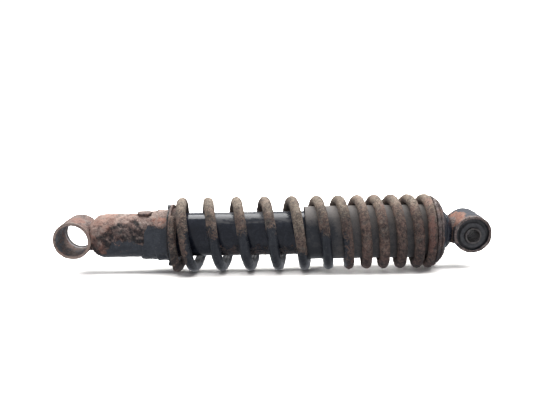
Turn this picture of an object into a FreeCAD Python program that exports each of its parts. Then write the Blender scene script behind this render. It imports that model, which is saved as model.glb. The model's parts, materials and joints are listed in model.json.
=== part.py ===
"""Coil-over hydraulic rear shock for a twin-shock motorcycle or moped.

Row frame, millimetres: the origin is the centre of the lower eye's bore, +X runs along the shock to the
upper eye, +Y runs along both eyes' bores and +Z is up. Most pieces are turned about the X axis, and their
outlines are written as (x, radius) points.
"""

import FreeCAD, Part
import math
import os
from FreeCAD import Base

# ---- driving dimensions, millimetres and degrees
EYE_TO_EYE = 325.0
EYE_RADIUS = 15.4
EYE_LENGTH = 30.0
LOWER_BORE_RADIUS = 13.0
LOWER_LIP_RADIUS = 11.7
LOWER_LIP_Y = 10.5
LOWER_LIP_WIDTH = 1.4
UPPER_BORE_RADIUS = 13.2
SLEEVE_RADIUS = 6.65
SLEEVE_BORE_RADIUS = 5.2
SLEEVE_LENGTH = 32.0
RUBBER_CORE_RADIUS = 10.8
RUBBER_GROOVE_DEPTH = 3.0

TUBE_RADIUS = 18.0
TUBE_WALL = 2.0
CAP_FACE_X = 13.5
CAP_FACE_RADIUS = 11.6
CAP_SHOULDER_X = 23.5
CAP_RIM_X = 26.0
CAP_WALL = 3.0
TUBE_TOP_X = 206.0
WELD_RADIUS = 10.6

STROKE = 60.0
PRESSURE_RADIUS = 13.5
PRESSURE_BORE_RADIUS = 12.0
BASE_VALVE_X = 26.0
BASE_FLANGE_THICKNESS = 3.0
BASE_BODY_TOP_X = 35.0
BASE_DISC_THICKNESS = 0.8
BASE_SPRING_LENGTH = 5.0
BASE_SPRING_WIRE = 0.8
BASE_SPRING_RADIUS = 3.6
BASE_SPRING_TURNS = 3
PIN_RADIUS = 2.5

GUIDE_SPIGOT_X = 180.0
GUIDE_SHOULDER_X = 186.0
GUIDE_TOP_X = 200.0
SEAL_TOP_X = 203.2
RETAINER_TOP_X = 204.5
BUSH_RADIUS = 7.5
RING_GROOVE_X = 192.0
RING_SECTION_RADIUS = 0.9
RUNNING_FIT = 0.05

ROD_RADIUS = 6.0
THREAD_RADIUS = 5.0
ROD_SHOULDER_X = 292.0
ROD_END_X = 309.2
PISTON_X = 150.0
PISTON_LENGTH = 12.0
PISTON_RADIUS = 11.6
PISTON_THREAD_RADIUS = 4.0
PISTON_NUT_LENGTH = 6.5
SHIM_STACK = 0.9
REBOUND_STOP_RADIUS = 10.0
BUMP_STOP_LENGTH = 24.0
BUMP_STOP_RADIUS = 17.0
BUMP_WASHER_THICKNESS = 2.0

LUG_START_X = 50.7
LUG_END_X = 63.05
LUG_WIDTH = 8.0
LUG_TOP_RADIUS = 20.5
LUG_ANGLE = 6.0
CAM_BORE_RADIUS = 18.4
CAM_SKIRT_RADIUS = 19.8
CAM_BAND_RADIUS = 20.9
CAM_BAND_X = 67.5
CAM_TOP_X = 78.0
CAM_NOTCH_X = 64.03
CAM_ANGLE = 9.0
CAM_STEPS = 5
CAM_STEP_ANGLE = 36.0
CAM_STEP_RISE = 2.25
CAM_SEAT_HALF_ANGLE = 12.0
SPANNER_SLOT_WIDTH = 6.0
SPANNER_SLOT_ANGLES = (-50.0, 130.0)

PAD_X = 78.1
PAD_THICKNESS = 1.3
PAD_RADIUS = 25.0
SEAT_THICKNESS = 2.0
SEAT_RADIUS = 25.4
SEAT_SPIGOT_RADIUS = 22.2
SEAT_SPIGOT_LENGTH = 3.8

WIRE_RADIUS = 4.2
COIL_RADIUS = 26.6
COIL_START_TURN = 0.125
COIL_END_TURN = 12.5
COIL_START_X = 80.6
COIL_TOP_X = 292.0
# (turn, pitch in mm per turn), straight lines between: a closed end turn, open turns, tight turns, closed end
PITCH_LAW = (
    (0, 8.5), (0.95, 8.5), (1.2, 23.3), (4.0, 23.3), (5.4, 21.0),
    (8.0, 14.1), (11.95, 13.8), (12.05, 3.9), (12.5, 3.9),
)
COIL_POINTS_PER_TURN = 24

COVER_START_X = 188.8
COVER_RADIUS = 22.0
COVER_BORE_RADIUS = 20.8
COVER_FLANGE_RADIUS = 27.5
COVER_FLANGE_THICKNESS = 1.0

UPPER_SEAT_RADIUS = 29.5
UPPER_SEAT_TOP_X = 303.5
UPPER_SEAT_TOP_RADIUS = 16.4
UPPER_SEAT_WAY_X = 300.0
UPPER_SEAT_WAY_RADIUS = 24.2
UPPER_SEAT_FLOOR_RADIUS = 15.5
DOME_BASE_RADIUS = 16.2
DOME_WAY_X = 307.3
DOME_WAY_RADIUS = 13.2
NECK_RADIUS = 9.6
NECK_X = 309.6
NUT_LENGTH = 6.0
NUT_ACROSS_FLATS = 17.0
PISTON_NUT_ACROSS_FLATS = 13.0

# ---- worked out from the driving dimensions
TUBE_BORE_RADIUS = TUBE_RADIUS - TUBE_WALL
SEAT_X = PAD_X + PAD_THICKNESS
COIL_BASE_X = SEAT_X + SEAT_THICKNESS
UPPER_SEAT_X = COIL_TOP_X + COVER_FLANGE_THICKNESS
PISTON_TOP_X = PISTON_X + PISTON_LENGTH
NUT_X = ROD_SHOULDER_X + BUMP_WASHER_THICKNESS
SEAT_FLOOR_X = NUT_X + NUT_LENGTH

X_AXIS = Base.Vector(1, 0, 0)
Y_AXIS = Base.Vector(0, 1, 0)
ORIGIN = Base.Vector(0, 0, 0)


# ---- shapes that repeat
def turned(outline):
    """A solid turned about X from a closed outline of (x, radius) points.

    A point written (x, radius, "arc") is the middle of a round stretch between its two neighbours.
    """
    edges = []
    closed = list(outline) + [outline[0]]
    start = Base.Vector(closed[0][0], 0, closed[0][1])
    middle = None
    for point in closed[1:]:
        place = Base.Vector(point[0], 0, point[1])
        if len(point) == 3:
            middle = place
            continue
        if middle is None:
            edges.append(Part.LineSegment(start, place).toShape())
        else:
            edges.append(Part.Arc(start, middle, place).toShape())
        start = place
        middle = None
    return Part.Face(Part.Wire(edges)).revolve(ORIGIN, X_AXIS, 360)


def ring(x_start, x_end, bore, radius):
    """A plain ring about X."""
    return turned([(x_start, bore), (x_start, radius), (x_end, radius), (x_end, bore)])


def rod(x_start, x_end, radius):
    """A plain round bar along X."""
    return Part.makeCylinder(radius, x_end - x_start, Base.Vector(x_start, 0, 0), X_AXIS)


def cross_bar(x, radius, y_start, y_end):
    """A plain round bar along Y, through the X axis at x."""
    return Part.makeCylinder(radius, y_end - y_start, Base.Vector(x, y_start, 0), Y_AXIS)


def about_x(shape, angle):
    """A copy of a shape turned about the X axis."""
    copy = shape.copy()
    copy.rotate(ORIGIN, X_AXIS, angle)
    return copy


def holes_about_x(x_start, x_end, hole_radius, circle_radius, count):
    """A ring of round bars along X, to cut holes with."""
    bar = rod(x_start, x_end, hole_radius)
    bar.translate(Base.Vector(0, 0, circle_radius))
    return [about_x(bar, 360.0 * n / count) for n in range(count)]


def wound_wire(line, coil_radius, wire_radius):
    """A round wire wound about X, right-handed, along (turn, x) points of its centre line."""
    centre = [
        Base.Vector(x, -coil_radius * math.sin(2 * math.pi * t), coil_radius * math.cos(2 * math.pi * t))
        for t, x in line
    ]
    curve = Part.BSplineCurve()
    curve.interpolate(centre)
    section = Part.makeCircle(wire_radius, centre[0], curve.tangent(curve.FirstParameter)[0])
    return Part.Wire([curve.toShape()]).makePipeShell([Part.Wire([section])], True, True)


def hexagon_nut(x_start, length, across_flats, hole_radius):
    """A hexagon nut about X, with both ends' corners turned off at 30 degrees."""
    corner = across_flats / 2 / math.cos(math.radians(30))
    angles = [math.radians(60 * n) for n in range(7)]
    points = [Base.Vector(x_start, corner * math.sin(a), corner * math.cos(a)) for a in angles]
    prism = Part.Face(Part.makePolygon(points)).extrude(X_AXIS * length)
    bevel = (corner - across_flats / 2) * math.tan(math.radians(30))
    x_end = x_start + length
    limit = turned([
        (x_start, 0), (x_start, across_flats / 2), (x_start + bevel, corner),
        (x_end - bevel, corner), (x_end, across_flats / 2), (x_end, 0),
    ])
    return prism.common(limit).cut(rod(x_start - 1, x_end + 1, hole_radius))


# ---- damper body: eye, cap, reservoir and what is fixed inside it
def lower_eye():
    """A plain eye with a narrow lip near the far end of its bore, for a pressed-in bush to stop against."""
    half = EYE_LENGTH / 2
    near_bore = cross_bar(0, LOWER_BORE_RADIUS, -half - 1, LOWER_LIP_Y)
    through_lip = cross_bar(0, LOWER_LIP_RADIUS, 0, half)
    far_bore = cross_bar(0, LOWER_BORE_RADIUS, LOWER_LIP_Y + LOWER_LIP_WIDTH, half + 1)
    return cross_bar(0, EYE_RADIUS, -half, half).cut([near_bore, through_lip, far_bore])


def cap_outline():
    """The end cap's outside, from the axis to its rim: flat face, round shoulder, straight wall."""
    rise = TUBE_RADIUS - CAP_FACE_RADIUS
    run = CAP_SHOULDER_X - CAP_FACE_X
    corner = (rise * rise + run * run) / (2 * rise)
    half_turn = math.asin(run / corner) / 2
    middle = (
        CAP_SHOULDER_X - corner * math.sin(half_turn),
        TUBE_RADIUS - corner * (1 - math.cos(half_turn)),
        "arc",
    )
    return [
        (CAP_FACE_X, 0), (CAP_FACE_X, CAP_FACE_RADIUS), middle,
        (CAP_SHOULDER_X, TUBE_RADIUS), (CAP_RIM_X, TUBE_RADIUS),
    ]


def lower_end_cap():
    floor = CAP_FACE_X + CAP_WALL + 1
    hollow = TUBE_RADIUS - CAP_WALL
    cap = turned(cap_outline() + [
        (CAP_RIM_X, hollow), (CAP_SHOULDER_X, hollow), (floor, CAP_FACE_RADIUS - 1), (floor, 0),
    ])
    return cap.cut(cross_bar(0, EYE_RADIUS, -EYE_LENGTH, EYE_LENGTH))


def lower_eye_weld():
    bead = rod(CAP_FACE_X / 2, CAP_FACE_X, WELD_RADIUS)
    return bead.cut(cross_bar(0, EYE_RADIUS, -EYE_LENGTH, EYE_LENGTH))


def reservoir_tube():
    crimp = TUBE_TOP_X - RETAINER_TOP_X
    return turned([
        (CAP_RIM_X, TUBE_BORE_RADIUS), (CAP_RIM_X, TUBE_RADIUS), (RETAINER_TOP_X, TUBE_RADIUS),
        (RETAINER_TOP_X + 0.7 * crimp, TUBE_RADIUS - 0.3 * crimp, "arc"),
        (TUBE_TOP_X, TUBE_RADIUS - crimp), (TUBE_TOP_X, TUBE_BORE_RADIUS - TUBE_WALL),
        (RETAINER_TOP_X, TUBE_BORE_RADIUS - TUBE_WALL), (RETAINER_TOP_X, TUBE_BORE_RADIUS),
    ])


def preload_lugs():
    """Two lugs with round ends, on opposite sides of the reservoir."""
    half = LUG_WIDTH / 2
    lug = Part.makeBox(
        LUG_END_X - LUG_START_X - LUG_WIDTH, LUG_WIDTH, LUG_TOP_RADIUS,
        Base.Vector(LUG_START_X + half, -half, 0),
    )
    for x in (LUG_START_X + half, LUG_END_X - half):
        lug = lug.fuse(Part.makeCylinder(half, LUG_TOP_RADIUS, Base.Vector(x, 0, 0)))
    lug = lug.removeSplitter().cut(rod(LUG_START_X - 1, LUG_END_X + 1, TUBE_RADIUS))
    return Part.makeCompound([about_x(lug, LUG_ANGLE), about_x(lug, LUG_ANGLE + 180)])


def pressure_tube():
    return ring(BASE_VALVE_X + BASE_FLANGE_THICKNESS, GUIDE_SHOULDER_X, PRESSURE_BORE_RADIUS, PRESSURE_RADIUS)


def base_valve_body():
    """A flanged plug in the foot of the pressure tube, with ports under its disc and slots in its flange."""
    flange_x = BASE_VALVE_X + BASE_FLANGE_THICKNESS
    flange_radius = TUBE_BORE_RADIUS - 0.1
    body = turned([
        (BASE_VALVE_X, PIN_RADIUS), (BASE_VALVE_X, flange_radius), (flange_x, flange_radius),
        (flange_x, PRESSURE_BORE_RADIUS), (BASE_BODY_TOP_X, PRESSURE_BORE_RADIUS),
        (BASE_BODY_TOP_X, PIN_RADIUS),
    ])
    ports = holes_about_x(BASE_VALVE_X - 1, BASE_BODY_TOP_X + 1, 1.2, 7.0, 6)
    slots = holes_about_x(BASE_VALVE_X - 1, flange_x + 1, 1.1, TUBE_BORE_RADIUS, 8)
    return body.cut(ports + slots)


def base_valve_disc():
    return ring(BASE_BODY_TOP_X + 0.05, BASE_BODY_TOP_X + BASE_DISC_THICKNESS, PIN_RADIUS + RUNNING_FIT, 9.0)


def base_valve_spring():
    """The light check spring between the disc and the pin's head."""
    start = BASE_BODY_TOP_X + BASE_DISC_THICKNESS + BASE_SPRING_WIRE / 2
    length = BASE_SPRING_LENGTH - BASE_SPRING_WIRE
    steps = BASE_SPRING_TURNS * COIL_POINTS_PER_TURN
    line = [(BASE_SPRING_TURNS * n / steps, start + length * n / steps) for n in range(steps + 1)]
    return wound_wire(line, BASE_SPRING_RADIUS, BASE_SPRING_WIRE / 2)


def base_valve_pin():
    """The rivet that holds the base valve together, with a wide head over the spring."""
    head_x = BASE_BODY_TOP_X + BASE_DISC_THICKNESS + BASE_SPRING_LENGTH
    return turned([
        (BASE_VALVE_X - 1.5, 0), (BASE_VALVE_X - 1.5, 4.0), (BASE_VALVE_X, 4.0), (BASE_VALVE_X, PIN_RADIUS),
        (head_x, PIN_RADIUS), (head_x, 5.0), (head_x + 1.2, 5.0), (head_x + 1.2, 0),
    ])


def rod_guide():
    groove_start = RING_GROOVE_X - RING_SECTION_RADIUS
    groove_end = RING_GROOVE_X + RING_SECTION_RADIUS
    groove = TUBE_BORE_RADIUS - 2 * RING_SECTION_RADIUS
    return turned([
        (GUIDE_SPIGOT_X, BUSH_RADIUS), (GUIDE_SPIGOT_X, PRESSURE_BORE_RADIUS),
        (GUIDE_SHOULDER_X, PRESSURE_BORE_RADIUS), (GUIDE_SHOULDER_X, TUBE_BORE_RADIUS),
        (groove_start, TUBE_BORE_RADIUS), (groove_start, groove), (groove_end, groove),
        (groove_end, TUBE_BORE_RADIUS), (GUIDE_TOP_X, TUBE_BORE_RADIUS), (GUIDE_TOP_X, BUSH_RADIUS),
    ])


def rod_guide_bush():
    return ring(GUIDE_SPIGOT_X, GUIDE_TOP_X, ROD_RADIUS + RUNNING_FIT, BUSH_RADIUS)


def guide_o_ring():
    major = TUBE_BORE_RADIUS - RING_SECTION_RADIUS
    return Part.makeTorus(major, RING_SECTION_RADIUS, Base.Vector(RING_GROOVE_X, 0, 0), X_AXIS)


def rod_seal():
    """The oil seal: a thick outer ring and a lip that runs on the rod."""
    lip = ROD_RADIUS + RUNNING_FIT
    return turned([
        (GUIDE_TOP_X, lip + 2.2), (GUIDE_TOP_X, TUBE_BORE_RADIUS), (SEAL_TOP_X, TUBE_BORE_RADIUS),
        (SEAL_TOP_X, lip + 0.4), (SEAL_TOP_X - 0.8, lip), (GUIDE_TOP_X + 1.2, lip),
        (GUIDE_TOP_X + 0.6, lip + 0.5),
    ])


def seal_retainer():
    return ring(SEAL_TOP_X, RETAINER_TOP_X, ROD_RADIUS + 0.8, TUBE_BORE_RADIUS)


# ---- preload adjuster
def cam_notch(step):
    """What the stepped edge cuts away at one step: a flat seat for the lug and the slope to the next step."""
    seat_x = CAM_NOTCH_X - step * CAM_STEP_RISE
    clear_x = CAM_NOTCH_X - CAM_STEPS * CAM_STEP_RISE - 4
    slope = CAM_STEP_ANGLE - 2 * CAM_SEAT_HALF_ANGLE
    outline = []
    if step == 0:
        lowest_x = CAM_NOTCH_X - (CAM_STEPS - 1) * CAM_STEP_RISE
        outline.append((lowest_x, -CAM_SEAT_HALF_ANGLE - slope))
    outline += [(seat_x, -CAM_SEAT_HALF_ANGLE), (seat_x, CAM_SEAT_HALF_ANGLE)]
    if step < CAM_STEPS - 1:
        outline.append((seat_x - CAM_STEP_RISE, CAM_SEAT_HALF_ANGLE + slope))
    overlap = 1.5
    first_x, first_angle = outline[0]
    last_x, last_angle = outline[-1]
    outline = [(clear_x, first_angle - overlap), (first_x, first_angle - overlap)] + outline
    outline += [(last_x, last_angle + overlap), (clear_x, last_angle + overlap)]
    mean_radius = (CAM_BORE_RADIUS + CAM_SKIRT_RADIUS) / 2
    points = [Base.Vector(x, -mean_radius * math.sin(math.radians(a)), 0) for x, a in outline]
    notch = Part.Face(Part.makePolygon(points + points[:1])).extrude(Base.Vector(0, 0, 2 * CAM_BAND_RADIUS))
    return about_x(notch, CAM_ANGLE + step * CAM_STEP_ANGLE)


def preload_cam_collar():
    """A collar with two equal flights of steps on its lower edge and two slots for a hook spanner."""
    skirt_x = CAM_NOTCH_X - CAM_STEPS * CAM_STEP_RISE + 0.3
    collar = turned([
        (skirt_x, CAM_BORE_RADIUS), (skirt_x, CAM_SKIRT_RADIUS), (CAM_BAND_X, CAM_SKIRT_RADIUS),
        (CAM_BAND_X, CAM_BAND_RADIUS), (CAM_TOP_X, CAM_BAND_RADIUS), (CAM_TOP_X, CAM_BORE_RADIUS),
    ])
    notches = [about_x(cam_notch(step), side) for side in (0, 180) for step in range(CAM_STEPS)]
    slot = Part.makeBox(
        CAM_TOP_X - CAM_BAND_X - 4, SPANNER_SLOT_WIDTH, CAM_BAND_RADIUS,
        Base.Vector(CAM_BAND_X + 2, -SPANNER_SLOT_WIDTH / 2, CAM_SKIRT_RADIUS),
    )
    slots = [about_x(slot, angle) for angle in SPANNER_SLOT_ANGLES]
    return collar.cut(notches + slots)


def lower_seat_pad():
    return ring(PAD_X, SEAT_X, CAM_BORE_RADIUS + 0.1, PAD_RADIUS)


def lower_spring_seat():
    """The steel washer under the spring, with a spigot that centres the end turn."""
    spigot_x = COIL_BASE_X + SEAT_SPIGOT_LENGTH
    return turned([
        (SEAT_X, CAM_BORE_RADIUS), (SEAT_X, SEAT_RADIUS), (COIL_BASE_X, SEAT_RADIUS),
        (COIL_BASE_X, SEAT_SPIGOT_RADIUS), (spigot_x - 1, SEAT_SPIGOT_RADIUS),
        (spigot_x, SEAT_SPIGOT_RADIUS - 1), (spigot_x, CAM_BORE_RADIUS),
    ])


# ---- main spring
def pitch_at(turn):
    """The spring's pitch at a place along the wire, from the pitch law."""
    for (start, low), (end, high) in zip(PITCH_LAW, PITCH_LAW[1:]):
        if turn <= end:
            return low + (high - low) * (turn - start) / (end - start)
    return PITCH_LAW[-1][1]


def coil_centre_line():
    """(turn, x) points along the wire's centre line, adding the pitch up step by step."""
    step = 1.0 / COIL_POINTS_PER_TURN
    x = COIL_START_X
    points = [(COIL_START_TURN, x)]
    for n in range(round((COIL_END_TURN - COIL_START_TURN) / step)):
        turn = COIL_START_TURN + n * step
        x += pitch_at(turn + step / 2) * step
        points.append((turn + step, x))
    return points


def coil_spring():
    """A right-handed wound wire, its ends ground flat to the seats."""
    between_seats = rod(COIL_BASE_X, COIL_TOP_X, 2 * (COIL_RADIUS + WIRE_RADIUS))
    return wound_wire(coil_centre_line(), COIL_RADIUS, WIRE_RADIUS).common(between_seats)


# ---- upper body: rod, piston, covers and the upper eye
def piston_rod():
    nut_x = PISTON_X - PISTON_NUT_LENGTH - 1.5
    chamfer = 1.0
    return turned([
        (nut_x, 0), (nut_x, PISTON_THREAD_RADIUS - chamfer), (nut_x + chamfer, PISTON_THREAD_RADIUS),
        (PISTON_TOP_X + SHIM_STACK, PISTON_THREAD_RADIUS), (PISTON_TOP_X + SHIM_STACK, ROD_RADIUS),
        (ROD_SHOULDER_X, ROD_RADIUS), (ROD_SHOULDER_X, THREAD_RADIUS),
        (ROD_END_X - chamfer, THREAD_RADIUS), (ROD_END_X, THREAD_RADIUS - chamfer), (ROD_END_X, 0),
    ])


def piston():
    """The piston, with a groove for its ring and a circle of oil ports."""
    groove_start, groove_end, groove_radius = ring_groove()
    body = turned([
        (PISTON_X, PISTON_THREAD_RADIUS), (PISTON_X, PISTON_RADIUS), (groove_start, PISTON_RADIUS),
        (groove_start, groove_radius), (groove_end, groove_radius), (groove_end, PISTON_RADIUS),
        (PISTON_TOP_X, PISTON_RADIUS), (PISTON_TOP_X, PISTON_THREAD_RADIUS),
    ])
    return body.cut(holes_about_x(PISTON_X - 1, PISTON_TOP_X + 1, 1.1, 7.8, 6))


def ring_groove():
    """Where the piston ring's groove starts and ends, and the radius of its floor."""
    middle = PISTON_X + PISTON_LENGTH / 2
    return middle - 2.5, middle + 2.5, PISTON_RADIUS - 1.6


def piston_ring():
    start, end, floor = ring_groove()
    gap = RUNNING_FIT
    return ring(start + gap, end - gap, floor + gap, PRESSURE_BORE_RADIUS - gap)


def piston_nut():
    start = PISTON_X - PISTON_NUT_LENGTH
    return hexagon_nut(start, PISTON_NUT_LENGTH, PISTON_NUT_ACROSS_FLATS, PISTON_THREAD_RADIUS)


def valve_shims():
    """Three thin discs of falling size on the piston's upper face."""
    thickness = SHIM_STACK / 3
    discs = []
    for n, radius in enumerate((9.6, 8.6, 7.4)):
        start = PISTON_TOP_X + n * thickness
        discs.append(ring(start, start + thickness, PISTON_THREAD_RADIUS, radius))
    return Part.makeCompound(discs)


def rebound_stop():
    """The rubber sleeve that meets the rod guide when the shock is fully extended."""
    start = PISTON_TOP_X + SHIM_STACK
    end = GUIDE_SPIGOT_X - 0.4
    return turned([
        (start, ROD_RADIUS), (start, REBOUND_STOP_RADIUS), (end - 2, REBOUND_STOP_RADIUS),
        (end, REBOUND_STOP_RADIUS - 1.5), (end, ROD_RADIUS),
    ])


def bump_stop():
    """A rubber bump stop with a waist, tapered at its lower end."""
    start = ROD_SHOULDER_X - BUMP_STOP_LENGTH
    waist = start + 0.55 * BUMP_STOP_LENGTH
    return turned([
        (start, ROD_RADIUS), (start, 0.75 * BUMP_STOP_RADIUS), (start + 4, 0.92 * BUMP_STOP_RADIUS),
        (waist - 2.5, 0.92 * BUMP_STOP_RADIUS), (waist, 0.74 * BUMP_STOP_RADIUS, "arc"),
        (waist + 2.5, 0.92 * BUMP_STOP_RADIUS), (ROD_SHOULDER_X - 2, BUMP_STOP_RADIUS),
        (ROD_SHOULDER_X, BUMP_STOP_RADIUS), (ROD_SHOULDER_X, ROD_RADIUS),
    ])


def bump_stop_washer():
    return ring(ROD_SHOULDER_X, NUT_X, THREAD_RADIUS, BUMP_STOP_RADIUS + 1)


def rod_locknut():
    return hexagon_nut(NUT_X, NUT_LENGTH, NUT_ACROSS_FLATS, THREAD_RADIUS)


def dust_cover():
    """The sleeve inside the spring, held by its flange between the spring and the upper seat."""
    return turned([
        (COVER_START_X, COVER_BORE_RADIUS), (COVER_START_X, COVER_RADIUS), (COIL_TOP_X, COVER_RADIUS),
        (COIL_TOP_X, COVER_FLANGE_RADIUS), (UPPER_SEAT_X, COVER_FLANGE_RADIUS),
        (UPPER_SEAT_X, COVER_BORE_RADIUS),
    ])


def upper_spring_seat():
    """A dished seat: flat under the spring, round on its back, hollow round the locknut."""
    rim_x = UPPER_SEAT_X + 1
    return turned([
        (UPPER_SEAT_X, COVER_BORE_RADIUS), (UPPER_SEAT_X, UPPER_SEAT_RADIUS), (rim_x, UPPER_SEAT_RADIUS),
        (UPPER_SEAT_WAY_X, UPPER_SEAT_WAY_RADIUS, "arc"), (UPPER_SEAT_TOP_X, UPPER_SEAT_TOP_RADIUS),
        (UPPER_SEAT_TOP_X, THREAD_RADIUS), (SEAT_FLOOR_X, THREAD_RADIUS),
        (SEAT_FLOOR_X, UPPER_SEAT_FLOOR_RADIUS), (UPPER_SEAT_X + 4, COVER_BORE_RADIUS),
    ])


def upper_mount_dome():
    """The domed socket that the rod screws into, necked down and cut to sit on the upper eye."""
    inside_eye_x = EYE_TO_EYE - EYE_RADIUS / 2
    outside = turned([
        (UPPER_SEAT_TOP_X, 0), (UPPER_SEAT_TOP_X, DOME_BASE_RADIUS), (DOME_WAY_X, DOME_WAY_RADIUS, "arc"),
        (NECK_X, NECK_RADIUS), (inside_eye_x, NECK_RADIUS), (inside_eye_x, 0),
    ])
    eye = cross_bar(EYE_TO_EYE, EYE_RADIUS, -EYE_LENGTH, EYE_LENGTH)
    return outside.cut(eye).cut(rod(UPPER_SEAT_TOP_X - 1, ROD_END_X, THREAD_RADIUS))


def upper_eye_weld():
    """The bead round the neck, between the neck and the eye."""
    bead_radius = NECK_RADIUS + 1.6
    bead = turned([
        (NECK_X + 0.4, NECK_RADIUS), (NECK_X + 2, bead_radius),
        (NECK_X + 6, bead_radius), (NECK_X + 6, NECK_RADIUS),
    ])
    return bead.cut(cross_bar(EYE_TO_EYE, EYE_RADIUS, -EYE_LENGTH, EYE_LENGTH))


def upper_eye():
    half = EYE_LENGTH / 2
    eye = cross_bar(EYE_TO_EYE, EYE_RADIUS, -half, half)
    return eye.cut(cross_bar(EYE_TO_EYE, UPPER_BORE_RADIUS, -half - 1, half + 1))


def upper_bush_rubber():
    """The rubber bush: full in the bore's middle, with a groove round its core at each end."""
    groove_y = EYE_LENGTH / 2 - RUBBER_GROOVE_DEPTH
    core_y = EYE_LENGTH / 2 - 0.5
    bush = cross_bar(EYE_TO_EYE, UPPER_BORE_RADIUS, -groove_y, groove_y)
    bush = bush.fuse(cross_bar(EYE_TO_EYE, RUBBER_CORE_RADIUS, -core_y, core_y))
    return bush.cut(cross_bar(EYE_TO_EYE, SLEEVE_RADIUS, -EYE_LENGTH, EYE_LENGTH))


def upper_bush_sleeve():
    half = SLEEVE_LENGTH / 2
    sleeve = cross_bar(EYE_TO_EYE, SLEEVE_RADIUS, -half, half)
    return sleeve.cut(cross_bar(EYE_TO_EYE, SLEEVE_BORE_RADIUS, -half - 1, half + 1))


NODES = (
    lower_eye, lower_eye_weld, lower_end_cap, reservoir_tube, preload_lugs, pressure_tube,
    base_valve_body, base_valve_disc, base_valve_spring, base_valve_pin,
    rod_guide, rod_guide_bush, guide_o_ring, rod_seal, seal_retainer,
    preload_cam_collar, lower_seat_pad, lower_spring_seat, coil_spring,
    piston_rod, piston, piston_ring, piston_nut, valve_shims, rebound_stop,
    bump_stop, bump_stop_washer, rod_locknut, dust_cover, upper_spring_seat,
    upper_mount_dome, upper_eye_weld, upper_eye, upper_bush_rubber, upper_bush_sleeve,
)

os.makedirs("parts", exist_ok=True)
for node in NODES:
    shape = node()
    if not shape.isValid():
        raise ValueError(node.__name__ + " is not a valid solid")
    shape.exportStep("parts/" + node.__name__ + ".step")
    print(f"{node.__name__:22s} {len(shape.Solids)} solid(s) {shape.Volume:12.1f} mm3")
print("stroke", STROKE, "bump stop clearance", ROD_SHOULDER_X - BUMP_STOP_LENGTH - STROKE - TUBE_TOP_X)
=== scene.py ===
"""A used coil-over rear shock, rusted at both ends, lying on a white table.

Lengths are written in millimetres in the row frame and turned into metres when a mesh is made. Angles round
the shock are degrees from the top, growing towards the near side, -Y.
"""
import json
import math

import bpy
import numpy as np
from mathutils import Matrix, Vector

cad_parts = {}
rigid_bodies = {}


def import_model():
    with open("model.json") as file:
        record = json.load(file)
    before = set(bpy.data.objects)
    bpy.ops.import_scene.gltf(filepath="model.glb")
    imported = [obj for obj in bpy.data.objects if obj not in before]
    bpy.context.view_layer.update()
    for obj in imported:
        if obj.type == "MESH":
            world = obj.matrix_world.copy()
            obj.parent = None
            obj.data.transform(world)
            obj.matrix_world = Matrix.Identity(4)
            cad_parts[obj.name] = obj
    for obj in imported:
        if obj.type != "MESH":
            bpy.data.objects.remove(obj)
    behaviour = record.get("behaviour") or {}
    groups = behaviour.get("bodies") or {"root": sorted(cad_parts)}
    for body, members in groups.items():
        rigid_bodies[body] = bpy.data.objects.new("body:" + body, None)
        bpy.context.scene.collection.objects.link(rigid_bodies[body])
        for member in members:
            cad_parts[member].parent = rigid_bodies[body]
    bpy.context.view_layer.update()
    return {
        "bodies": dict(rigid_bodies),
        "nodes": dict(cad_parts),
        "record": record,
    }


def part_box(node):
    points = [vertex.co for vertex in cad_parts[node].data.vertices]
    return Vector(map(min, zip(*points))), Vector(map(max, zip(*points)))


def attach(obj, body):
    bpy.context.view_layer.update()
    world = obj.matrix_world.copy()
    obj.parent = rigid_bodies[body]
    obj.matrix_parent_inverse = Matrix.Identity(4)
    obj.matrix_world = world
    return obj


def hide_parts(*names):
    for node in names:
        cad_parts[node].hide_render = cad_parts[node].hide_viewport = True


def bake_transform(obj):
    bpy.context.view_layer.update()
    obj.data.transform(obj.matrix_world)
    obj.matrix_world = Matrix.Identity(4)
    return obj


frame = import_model()

MM = 0.001
STEP = 0.8  # longest stretch between two points of an outline
FINE_STEP = 0.7


def span(node):
    """Where a CAD node starts and ends along X, and how high it reaches, in millimetres."""
    low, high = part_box(node)
    return low.x / MM, high.x / MM, high.z / MM


# ---- noise
def hashed(cells, seed):
    """A repeatable number from 0 to 1 for each whole-numbered cell."""
    n = (cells[..., 0] * 73856093) ^ (cells[..., 1] * 19349663) ^ (cells[..., 2] * 83492791)
    n = n ^ (seed * 2654435761)
    n = ((n ^ (n >> 13)) * 1274126177) & 0xFFFFFFFF
    n = n ^ (n >> 16)
    n = (n * 2246822519) & 0xFFFFFFFF
    return ((n ^ (n >> 15)) & 0xFFFF) / 65535.0


def lattice(points, seed):
    """Smooth noise from 0 to 1 whose cells are one unit wide."""
    base = np.floor(points).astype(np.int64)
    part = points - base
    part = part * part * (3 - 2 * part)
    total = np.zeros(points.shape[:-1])
    for corner in range(8):
        offset = np.array([corner & 1, corner >> 1 & 1, corner >> 2 & 1])
        share = np.prod(np.where(offset, part, 1 - part), axis=-1)
        total += share * hashed(base + offset, seed)
    return total


def cloud(points, size, seed, octaves=4):
    """Fractal noise from 0 to 1 with features about size millimetres wide."""
    total, weight = np.zeros(points.shape[:-1]), 0.0
    for octave in range(octaves):
        scale = 2.03 ** octave
        total += lattice(points * scale / size + 17.3 * octave, seed + octave) / 1.7 ** octave
        weight += 1 / 1.7 ** octave
    return total / weight


def smooth(value, low, high):
    """0 below low, 1 above high and an even curve between."""
    t = np.clip((value - low) / (high - low), 0, 1)
    return t * t * (3 - 2 * t)


def spot(points, centre, size, seed=5, rough=0.5):
    """1 inside a ragged blot, 0 outside."""
    far = np.linalg.norm((points - np.array(centre)) / np.array(size), axis=-1)
    return smooth(1.0 + rough * (cloud(points, 2.5, seed) - 0.5) * 2 - far, -0.12, 0.2)


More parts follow.
